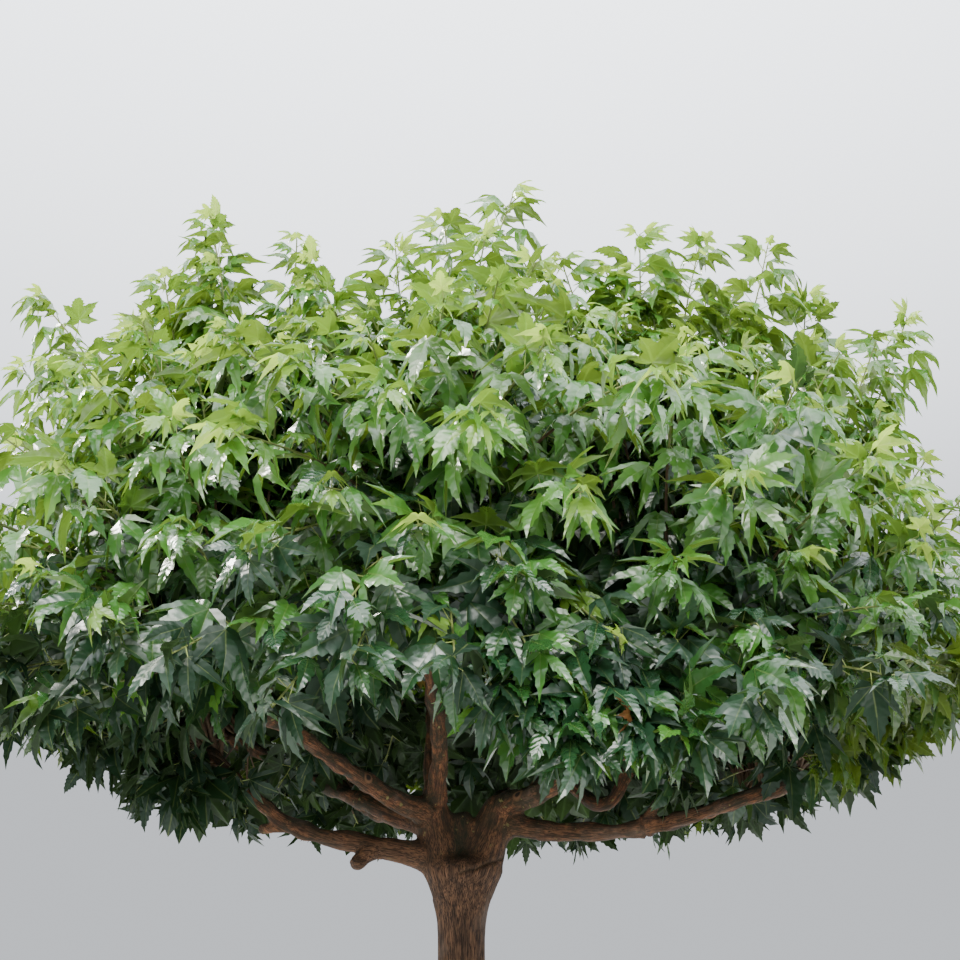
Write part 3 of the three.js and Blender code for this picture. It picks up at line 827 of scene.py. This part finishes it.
def bark_material():
    """Brown bark on the trunk and redder bark above, with painted shade in the fissures, moss, dark
    blotches of painted shadow, a darker cleft and crease, lichen and pruning scars.
    """
    material, tree, shader, _ = new_material("bark")
    geometry = tree.nodes.new("ShaderNodeNewGeometry")
    place = geometry.outputs["Position"]
    grain = attribute(tree, "grain", "Vector")
    along = add(tree, "ShaderNodeMapping", Vector=grain, Scale=(1, 1, 0.075)).outputs["Vector"]
    fissures = noise(tree, along, 230, 5, 0.65)
    plates = noise(tree, along, 45, 3)
    height = ramp(tree, part_of(tree, place, "Z"), 1.9, 2.25)
    brown = mix_colour(tree, ramp(tree, plates, 0.38, 0.66), (0.07, 0.037, 0.02, 1),
                       (0.19, 0.096, 0.05, 1))
    red = mix_colour(tree, ramp(tree, plates, 0.36, 0.64), (0.05, 0.021, 0.009, 1),
                     (0.23, 0.09, 0.035, 1))
    colour = mix_colour(tree, height, brown, red)
    # The fissures are painted near-black, a little less on the boughs: painted shade in the fissures.
    depth = calculate(tree, "SUBTRACT", 1.0, times(tree, height, 0.15))
    fissure_shade = times(tree, ramp(tree, fissures, 0.56, 0.43), depth)
    colour = mix_colour(tree, fissure_shade, colour, (0.013, 0.007, 0.004, 1))
    patches = times(tree, ramp(tree, noise(tree, place, 5, 3), 0.55, 0.7), 0.45)
    colour = mix_colour(tree, patches, colour, (0.14, 0.1, 0.075, 1))
    on_top = ramp(tree, part_of(tree, geometry.outputs["Normal"], "Z"), -0.15, 0.5)
    moss_and_shadow = times(tree, on_top, ramp(tree, noise(tree, place, 18, 8, 0.7), 0.37, 0.57))
    # Dark blotches above the head, in the moss colour: painted shadow of the crown on the boughs, joined
    # with the moss.
    shadow_blotches = times(tree, ramp(tree, noise(tree, place, 11, 8, 0.75), 0.43, 0.57), 0.85)
    moss_and_shadow = times(tree, calculate(tree, "MAXIMUM", moss_and_shadow, shadow_blotches), height)
    # Darker in the cleft between the arms and along the crease, in the moss colour.
    dark_cleft = ramp(tree, attribute(tree, "dark_cleft"), 0.2, 0.9)
    moss_and_shadow = calculate(tree, "MAXIMUM", moss_and_shadow, times(tree, dark_cleft, ramp(tree, plates, 0.25, 0.6)))
    colour = mix_colour(tree, moss_and_shadow, colour, (0.013, 0.015, 0.006, 1))
    lichen = times(tree, ramp(tree, noise(tree, place, 30, 4), 0.66, 0.7), height)
    colour = mix_colour(tree, lichen, colour, (0.15, 0.13, 0.045, 1))
    scar = attribute(tree, "scar")
    colour = mix_colour(tree, times(tree, ramp(tree, scar, 1.4, 1.0), 0.75), colour,
                        (0.17, 0.085, 0.04, 1))
    colour = mix_colour(tree, ramp(tree, scar, 0.75, 0.5), colour, (0.014, 0.009, 0.006, 1))
    tree.links.new(colour, shader.inputs["Base Color"])
    shader.inputs["Roughness"].default_value = 0.82
    shader.inputs["Specular IOR Level"].default_value = 0.3
    relief = calculate(tree, "ADD", fissures, times(tree, noise(tree, grain, 230, 3, 0.7), 0.35))
    roughen(tree, shader, relief, 0.75, 0.006)
    return material


def leaf_material(name, upper, under, glow, through, gloss):
    """A glossy leaf: plain colours above and below, light that comes through, and pale veins."""
    material, tree, shader, output = new_material(name)
    geometry = tree.nodes.new("ShaderNodeNewGeometry")
    place = geometry.outputs["Position"]
    vein = attribute(tree, "vein")
    pale = [0.7 * c + 0.3 * p for c, p in zip(upper, (0.42, 0.5, 0.16))]
    veined = mix_colour(tree, times(tree, ramp(tree, vein, 0.1, 0.04), 0.6), (*upper, 1), (*pale, 1))
    mottle = times(tree, ramp(tree, noise(tree, place, 22, 2), 0.35, 0.65), 0.35)
    veined = mix_colour(tree, mottle, veined, (*[0.72 * c for c in upper], 1))
    below = [min(2.3 * c, 0.5) for c in under]
    ribbed = mix_colour(tree, times(tree, ramp(tree, vein, 0.22, 0.05), 0.75), (*under, 1), (*below, 1))
    colour = mix_colour(tree, geometry.outputs["Backfacing"], veined, ribbed)
    tree.links.new(colour, shader.inputs["Base Color"])
    shader.inputs["Roughness"].default_value = 0.56 - 0.3 * gloss
    shader.inputs["Specular IOR Level"].default_value = gloss
    shader.inputs["IOR"].default_value = 1.55
    rib = attribute(tree, "rib", "Vector")
    slant = calculate(tree, "SUBTRACT", part_of(tree, rib, "X"), times(tree, part_of(tree, rib, "Y"), 0.8))
    wave = calculate(tree, "SINE", times(tree, slant, 44.0))
    ribs = calculate(tree, "ADD", times(tree, wave, 0.5), noise(tree, place, 60, 2))
    roughen(tree, shader, ribs, 0.4, 0.0018)
    lit = add(tree, "ShaderNodeBsdfTranslucent", Color=(*glow, 1))
    mix = tree.nodes.new("ShaderNodeMixShader")
    for socket, value in zip(mix.inputs, (through, shader.outputs["BSDF"], lit.outputs["BSDF"])):
        feed(tree, socket, value)
    tree.links.new(mix.outputs["Shader"], output.inputs["Surface"])
    return material


def twig_material(name, low, high, roughness):
    material, tree, shader, _ = new_material(name)
    geometry = tree.nodes.new("ShaderNodeNewGeometry")
    value = noise(tree, geometry.outputs["Position"], 35, 3)
    colour = mix_colour(tree, ramp(tree, value, 0.35, 0.65), (*low, 1), (*high, 1))
    tree.links.new(colour, shader.inputs["Base Color"])
    shader.inputs["Roughness"].default_value = roughness
    return material


# Leaves

LEAF_LOBES = {
    "five": [(0, 1.06, 0.185, 3), (43, 0.86, 0.145, 2), (96, 0.47, 0.115, 1)],
    "broad": [(0, 1.04, 0.235, 3), (40, 0.84, 0.185, 2), (92, 0.5, 0.16, 1)],
    "three": [(0, 1.06, 0.245, 3), (50, 0.68, 0.165, 2), (104, 0.36, 0.14, 1)],
    "plain": [(0, 1.04, 0.29, 4), (58, 0.48, 0.16, 1), (112, 0.34, 0.12, 1)],
}
LEAF_SINUS = {"five": (0.36, 0.26), "broad": (0.46, 0.34), "three": (0.46, 0.28), "plain": (0.44, 0.34)}


def lobe_edge(angle, length, width, teeth, inner, side):
    """Teeth along one edge of a lobe, from its foot to just short of its tip."""
    way = np.array([math.sin(angle), math.cos(angle)])
    across = np.array([way[1], -way[0]]) * side
    if teeth == 0:
        return [(way * (inner + 0.2) * length + across * width, width)]
    points = []
    for k in range(teeth):
        place = inner + (1 - inner) * (k + 0.35) / (teeth + 0.9)
        notch = inner + (1 - inner) * (k + 0.8) / (teeth + 0.9)
        full = width * (1 - ((place - inner) / (1 - inner)) ** 1.25)
        slim = width * (1 - ((notch - inner) / (1 - inner)) ** 1.1) * 0.84
        points.append((way * (place + 0.03) * length + across * full, full))
        points.append((way * notch * length + across * slim, slim))
    return points


def leaf_template(kind, toothed):
    """Points, triangles, vein distance and lobe coordinates of one leaf, one long, in X and Y."""
    lobes = [(angle, length, width, teeth * toothed) for angle, length, width, teeth in LEAF_LOBES[kind]]
    sinuses = LEAF_SINUS[kind]
    points = [np.array([0.0, 0.0, 0.0])]
    vein = [0.0]
    faces = []
    ribs = []

    def place(flat, lift, distance):
        points.append(np.array([flat[0], flat[1], lift]))
        vein.append(distance)
        return len(points) - 1

    ordered = [(-angle, *rest) for angle, *rest in reversed(lobes[1:])] + lobes
    angles = [math.radians(angle) for angle, *_ in ordered]
    gaps = [sinuses[1], sinuses[0], sinuses[0], sinuses[1]]
    feet = [place(np.array([-0.05, -0.1]), 0.02, 0.8)]
    for i, gap in enumerate(gaps):
        middle = (angles[i] + angles[i + 1]) / 2
        feet.append(place(np.array([math.sin(middle), math.cos(middle)]) * gap, 0.07 * gap / 0.36, 1.0))
    feet.append(place(np.array([0.05, -0.1]), 0.02, 0.8))
    for i, (_, length, width, teeth) in enumerate(ordered):
        way = np.array([math.sin(angles[i]), math.cos(angles[i])])
        middle = place(way * length * 0.52, -0.015, 0.0)
        tip = place(way * length, -0.02, 0.0)
        inner = 0.42 if abs(angles[i]) < 1.4 else 0.36
        for side, foot in ((-1, feet[i]), (1, feet[i + 1])):
            edge = lobe_edge(angles[i], length, width, teeth, inner, side)
            chain = [foot] + [place(flat, 0.3 * off, 1.0) for flat, off in edge] + [tip]
            if side > 0:
                added = [(0, foot, middle)] + [(middle, a, b) for a, b in zip(chain, chain[1:])]
            else:
                added = [(0, middle, foot)] + [(middle, b, a) for a, b in zip(chain, chain[1:])]
            faces += added
            across = np.array([way[1], -way[0]]) * side
            for face in added:
                flat = np.array([points[corner][:2] for corner in face])
                ribs.append(np.stack([flat @ way, flat @ across, np.full(3, length)], axis=1))
    return np.array(points), np.array(faces), np.array(vein), np.array(ribs)


# The leaves deep inside the crown are hardly seen, and have plain edges.
KINDS = list(LEAF_LOBES)
KIND_SHARES = [0.4, 0.28, 0.22, 0.1]
TEMPLATES = {(kind, toothed): leaf_template(kind, toothed) for kind in KINDS for toothed in (0, 1)}
LEAVES_A_PIECE = 3200

# Each tone: upper side, lower side, the colour of light that comes through, and its share. The tones from
# shade to light are lit and shaded copies of one leaf: painted shade inside and low in the crown, painted
# light high and outside.
TONES = {
    "shade": ((0.006, 0.025, 0.01), (0.018, 0.036, 0.012), (0.03, 0.07, 0.01), 0.12),
    "deep": ((0.01, 0.044, 0.018), (0.034, 0.066, 0.022), (0.07, 0.15, 0.022), 0.16),
    "blue": ((0.012, 0.055, 0.019), (0.04, 0.075, 0.024), (0.08, 0.18, 0.03), 0.19),
    "dark": ((0.014, 0.07, 0.014), (0.045, 0.088, 0.022), (0.11, 0.24, 0.023), 0.2),
    "mid": ((0.048, 0.17, 0.024), (0.07, 0.125, 0.026), (0.21, 0.38, 0.036), 0.22),
    "hanging": ((0.022, 0.075, 0.014), (0.055, 0.082, 0.019), (0.14, 0.23, 0.022), 0.3),
    "olive": ((0.068, 0.185, 0.024), (0.08, 0.128, 0.024), (0.22, 0.36, 0.032), 0.25),
    "light": ((0.088, 0.25, 0.036), (0.088, 0.155, 0.03), (0.26, 0.45, 0.042), 0.27),
    "young": ((0.2, 0.38, 0.055), (0.24, 0.39, 0.08), (0.52, 0.72, 0.1), 0.38),
}
DEAD = {
    "yellow": ((0.42, 0.24, 0.025), (0.42, 0.29, 0.08), (0.6, 0.4, 0.05), 0.3),
    "brown": ((0.1, 0.042, 0.012), (0.1, 0.05, 0.018), (0.2, 0.08, 0.02), 0.15),
}


Leaf = collections.namedtuple("Leaf", "base forward facing size kind tone bend fold")


def outerness(place):
    """How near the outside of the crown a point is, from 0 to 1."""
    radius = math.hypot(place[0], place[1])
    over = top_height(place[None])[0] - place[2]
    return min(max(1 - over / 0.8, (radius - 1.1) / 0.9, 0), 1)


def tone_of(place, outer, from_tip, mood, rng):
    """The tone of a leaf from where it grows and how old it is: painted shade low and deep in the crown,
    painted light high and outside.
    """
    rise = np.clip((place[2] - hem_height(place[None])[0] - 0.1) / 0.45, 0, 1)
    facing = front_share(place[None])[0]
    # The light score: painted light higher up and nearer the outside, painted shade on low leaves away
    # from the front and most on low leaves towards the left, a little lighter near the tips.
    light = 0.44 * (place[2] - 2.55) + outer * (0.4 + 0.2 * rise) - 0.06 + mood + rng.normal(0, 0.16)
    light += 0.12 * (from_tip < 0.25) - 0.12 * (1 - rise) * (1 - facing)
    light -= 0.45 * (1 - rise) * np.clip(-place[0] / 1.2, 0, 1)
    if rise < 0.6 and outer > 0.5 and light > 0.1 and facing < 0.7:
        return "hanging"
    if from_tip < 0.04 and light > 0.75:
        return "young"
    if rng.random() < 0.005 and light < 0.6:
        return "yellow" if rng.random() < 0.4 else "brown"
    if light < 0.18:
        return "shade"
    if light < 0.36:
        return "deep"
    if light < 0.6:
        return "blue" if rng.random() < 0.5 else "dark"
    if light < 0.9:
        return "mid"
    return "olive" if rng.random() < 0.45 else "light"


def buds(line, turn, step, rng):
    """Where a shoot's leaves grow, from its tip down: how far from the tip, the point, and the
    ways along the shoot and out to its side."""
    span = run_along(line)
    length = span[-1]
    gap = 0.0
    for order in range(MOST_LEAVES):
        t = 1 - gap / length
        gap += step * (0.4 + 0.6 * min(order / 5, 1))
        if t < BARE_SHARE:
            return
        if t < 0.5 and rng.random() < 0.45:
            continue
        place, ahead, behind = points_at(line, span, np.array([t, min(t + 0.03, 1), t - 0.03]) * length)
        along = unit(ahead - behind)
        level = UP if abs(along[2]) < 0.95 else np.array([1.0, 0, 0])
        across = unit(np.cross(level, along))
        over = np.cross(along, across)
        angle = turn + GOLDEN * order + rng.normal(0, 0.25)
        yield (1 - t) * length, place, along, across * math.cos(angle) + over * math.sin(angle)


def leaf_ways(side, along, outward, grown, top, low, rng):
    """Where a leaf points, hanging most low in the crown, and where its upper side faces."""
    droop = (0.68 - 0.62 * top - 0.25 * low) * rng.uniform(0.4, 1.6) * (0.35 + 0.65 * grown)
    forward = side * 0.75 + along * (0.2 + 0.7 * (1 - grown)) + outward * 0.45 - UP * droop
    forward = unit(forward + rng.normal(0, 0.12, 3))
    facing = UP * (rng.uniform(0.35, 0.9) * (1 - 0.7 * low) + 0.5 * top)
    facing = facing + outward * rng.uniform(0.2, 0.9) * (1 - 0.75 * top)
    facing = facing + rng.normal(0, 0.28 + 0.45 * low, 3)
    return forward, unit(facing - forward * (facing @ forward))


def shoot_leaves(line, rng):
    """The leaves of one shoot, and the lines of their stalks."""
    turn = rng.uniform(0, 2 * math.pi)
    mood = rng.normal(0, 0.1)
    tip = line[-1:]
    rim = tip[0, 2] < RIM_TIP and front_share(tip)[0] > 0.5
    step = LEAF_STEP * (RIM_STEP if rim else SPIRE_STEP if tip[0, 2] > SPIRE_TIP else 1)
    for from_tip, place, along, side in buds(line, turn, step, rng):
        outward = unit(np.array([place[0], place[1], 0.0]) + 1e-6)
        grown = np.clip(from_tip / YOUNG_LENGTH, 0, 1)
        top = np.clip((place[2] - 2.65) / 1.6, 0, 1)
        low = np.clip((2.8 - place[2]) / 0.4, 0, 1) * (1 - front_share(place[None])[0])
        stalk_way = unit(side * 0.9 + along * 0.45 + outward * 0.25 + UP * 0.15)
        stalk = (0.025 + 0.055 * grown) * rng.uniform(0.8, 1.2)
        base = place + stalk_way * stalk
        forward, facing = leaf_ways(side, along, outward, grown, top, low, rng)
        small = 0.72 if rim else 0.4 if place[2] > 3.4 else 0.6
        size = LEAF_LENGTH * (small + (1 - small) * grown ** 0.8) * rng.uniform(0.78, 1.2)
        outer = outerness(place)
        tone = tone_of(place, outer, from_tip, mood, rng)
        kind = KINDS[int(rng.choice(len(KINDS), p=KIND_SHARES))]
        withered = tone in DEAD
        size = size * (1 + 0.15 * low) * (1 - 0.4 * withered)
        bend = rng.uniform(0.3, 1.0) + 0.75 * top - 0.15 * low + 0.8 * withered
        fold = rng.uniform(0.15, 0.6) * (1 - 0.5 * low) + 0.4 * top + 0.3 * (1 - grown)
        toothed = int(outer > 0.3)
        yield Leaf(base, forward, facing, size, (kind, toothed), tone, bend, fold), (place, base)


def grow_leaves(lines):
    """All the leaves that are clear of the limbs, and the lines of their stalks."""
    rng = np.random.default_rng(SEED + 1)
    grown = [pair for line in lines for pair in shoot_leaves(line, rng)]
    base = np.array([leaf.base for leaf, _ in grown])
    blade = np.array([leaf.forward * leaf.size for leaf, _ in grown])
    clear = clear_of_limbs(base, 0.01)
    for share in (0.35, 0.7, 1.0):
        clear &= clear_of_limbs(base + blade * share, 0.006)
    kept = [pair for pair, free in zip(grown, clear) if free]
    return [leaf for leaf, _ in kept], [stalk for _, stalk in kept]


def leaf_cloud(leaves, kind):
    """Points, faces, vein distances and lobe coordinates of all the given leaves of one kind."""
    points, faces, vein, ribs = TEMPLATES[kind]
    base, forward, facing = (
        np.array([getattr(leaf, part) for leaf in leaves]) for part in ("base", "forward", "facing")
    )
    size, bend, fold = (
        np.array([[getattr(leaf, part)] for leaf in leaves]) for part in ("size", "bend", "fold")
    )
    across = np.cross(forward, facing)
    x, y, z = (points[:, i][None] for i in range(3))
    reach = np.where(y > 0, np.sin(bend * y) / bend, y)
    lift = z * 1.5 - np.where(y > 0, (1 - np.cos(bend * y)) / bend, 0)
    lift = lift - fold * (np.sqrt(x * x + 0.003) - 0.055) - 0.35 * x * x
    x = LEAF_BREADTH * x / np.sqrt(1 + 0.7 * fold * fold)
    cloud = (
        base[:, None]
        + (x * size)[..., None] * across[:, None]
        + (reach * size)[..., None] * forward[:, None]
        + (lift * size)[..., None] * facing[:, None]
    )
    start = np.arange(len(leaves))[:, None, None] * len(points)
    faces = (faces[None] + start).reshape(-1, 3)
    ribs = np.tile(ribs, (len(leaves), 1, 1)).reshape(-1, 3)
    return cloud.reshape(-1, 3), faces, np.tile(vein, len(leaves)), ribs


def leaf_piece(name, leaves, material, nodes):
    """One joined piece of leaves, with what their material reads at each point and corner."""
    kinds = [(kind, [leaf for leaf in leaves if leaf.kind == kind]) for kind in TEMPLATES]
    clouds = [leaf_cloud(chosen, kind) for kind, chosen in kinds if chosen]
    piece = mesh_piece(name, *joined([(points, faces) for points, faces, _, _ in clouds]))
    store(piece.data, "rib", "FLOAT_VECTOR", "CORNER", np.concatenate([cloud[3] for cloud in clouds]))
    vein = np.concatenate([cloud[2] for cloud in clouds])
    store(piece.data, "vein", "FLOAT", "POINT", vein)
    crease = (vein[edges_of(piece.data)] < 0.01).all(axis=1)
    store(piece.data, "sharp_edge", "BOOLEAN", "EDGE", crease)
    dress(piece, material, nodes)


def stalk_piece(stalks, material, nodes):
    """All the leaf stalks, as thin three-sided tubes."""
    lines = np.array(stalks)
    radii = np.array([0.0021, 0.0015])
    along = unit(lines[:, 1] - lines[:, 0])
    across = unit(np.cross(along, UP + np.array([0.01, 0.02, 0])))
    over = np.cross(along, across)
    angle = 2 * math.pi * np.arange(3) / 3
    spokes = across[:, None] * np.cos(angle)[None, :, None] + over[:, None] * np.sin(angle)[None, :, None]
    points = lines[:, :, None] + spokes[:, None] * radii[None, :, None, None]
    base = np.arange(len(lines))[:, None] * 6
    j = np.arange(3)[None]
    k = (j + 1) % 3
    quads = np.stack([base + j, base + k, base + 3 + k, base + 3 + j], axis=-1)
    piece = mesh_piece("leaf_stalks", points.reshape(-1, 3), quads.reshape(-1, 4))
    dress(piece, material, nodes)


def shoot_pieces(lines, woody, green, nodes):
    """The shoots, woody below and green above."""
    low, high = [], []
    for line in lines:
        t = np.linspace(0, 1, len(line))
        radii = (0.0035 + 0.0055 * min(run_along(line)[-1] / 1.8, 1)) * (1 - t) + 0.0022 * t + 0.0006
        cut = 6
        low.append(tube(line[:cut + 1], radii[:cut + 1], 6))
        high.append(tube(line[cut:], radii[cut:], 6))
    dress(mesh_piece("shoots_woody", *joined(low)), woody, nodes)
    dress(mesh_piece("shoots_green", *joined(high)), green, nodes)


def stem_lines():
    """The knuckle of short stems that goes on from each bough's tip."""
    rows = []
    for bough in BOUGHS:
        end = limb_point(bough, [0.98, 1.0])
        along = unit(end[1] - end[0])
        line = end[1] + along * np.linspace(-0.03, STEM_LENGTH + 0.02, 7)[:, None]
        radii = np.array([0.03, 0.032, 0.036, 0.03, 0.031, 0.024, 0.008])
        rows.append(closed_tube(line, radii, 14))
    return rows


def make_tree():
    masses = [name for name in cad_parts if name.startswith("foliage")]
    limbs = [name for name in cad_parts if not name.startswith("foliage")]
    bark = bark_material()
    dress(bark_mesh(), bark, limbs)
    lines = shoot_lines()
    woody = twig_material("shoot_bark", (0.07, 0.04, 0.022), (0.13, 0.08, 0.04), 0.7)
    green = twig_material("shoot_green", (0.14, 0.17, 0.045), (0.23, 0.27, 0.08), 0.5)
    stalk = twig_material("leaf_stalk", (0.28, 0.36, 0.09), (0.36, 0.43, 0.13), 0.45)
    stems = mesh_piece("stems", *joined(stem_lines()))
    bark_marks(stems.data, points_of(stems.data))
    dress(stems, bark, masses)
    shoot_pieces(lines, woody, green, masses)
    leaves, stalks = grow_leaves(lines)
    stalk_piece(stalks, stalk, masses)
    for name, (upper, under, glow, through) in {**TONES, **DEAD}.items():
        chosen = [leaf for leaf in leaves if leaf.tone == name]
        gloss = {"shade": 0.25, "deep": 0.6, "yellow": 0.3, "brown": 0.1}.get(name, 1.0)
        material = leaf_material("leaf_" + name, upper, under, glow, through, gloss)
        for part, start in enumerate(range(0, len(chosen), LEAVES_A_PIECE)):
            piece_name = f"leaves_{name}_{part + 1}"
            leaf_piece(piece_name, chosen[start:start + LEAVES_A_PIECE], material, masses)
    print("leaves", len(leaves), "shoots", len(lines))


# Stage, light and camera

def make_stage():
    size = 30.0
    corners = np.array([[-size, -size, 0], [size, -size, 0], [size, size, 0], [-size, size, 0.0]])
    floor = mesh_piece("floor", corners, np.array([[0, 1, 2, 3]]), smooth=False)
    material, _, shader, _ = new_material("floor")
    shader.inputs["Base Color"].default_value = (0.42, 0.42, 0.41, 1)
    shader.inputs["Roughness"].default_value = 0.9
    floor.data.materials.append(material)
    floor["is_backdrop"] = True


def make_light():
    world = bpy.data.worlds.new("studio")
    bpy.context.scene.world = world
    world.use_nodes = True
    tree = world.node_tree
    background = tree.nodes["Background"]
    background.inputs["Color"].default_value = (0.9, 0.94, 1.0, 1)
    way = tree.nodes.new("ShaderNodeTexCoord")
    overhead = ramp(tree, part_of(tree, way.outputs["Generated"], "Z"), 0.25, 0.95)
    tree.links.new(calculate(tree, "ADD", times(tree, overhead, 4.5), 0.8),
                   background.inputs["Strength"])
    sun = bpy.data.lights.new("soft_key", "SUN")
    sun.energy = 6.9
    sun.angle = math.radians(10)
    sun.color = (1.0, 0.96, 0.88)
    aim("soft_key", sun, (-8.5, 2.5, 12.5))
    panel = bpy.data.lights.new("front_panel", "AREA")
    panel.shape = "DISK"
    panel.size = 6.0
    panel.energy = 1000
    panel.color = (1.0, 0.97, 0.9)
    aim("front_panel", panel, (-0.5, -8.5, 8.5))


def aim(name, lamp, place):
    """A lamp at a place, turned to the middle of the crown."""
    light = bpy.data.objects.new(name, lamp)
    light.location = place
    light.rotation_euler = (Vector((0, 0, 3.2)) - light.location).to_track_quat("-Z", "Y").to_euler()
    bpy.context.scene.collection.objects.link(light)


def make_camera():
    """The photo's view: eye height, 5.2 m in front of the trunk, tilted up."""
    camera = bpy.data.cameras.new("camera")
    camera.sensor_width = SENSOR
    camera.lens = SENSOR * FOCAL_PIXELS / PHOTO_PIXELS
    camera.shift_y = SHIFT
    viewer = bpy.data.objects.new("camera", camera)
    viewer.location = EYE
    viewer.rotation_euler = (math.radians(TILT), 0, 0)
    bpy.context.scene.collection.objects.link(viewer)
    bpy.context.scene.camera = viewer


make_tree()
make_stage()
make_light()
make_camera()

boxes = {"cad": CAD_BOX, "visual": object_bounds()}
{key: [[float(v) for v in corner] for corner in box] for key, box in boxes.items()}
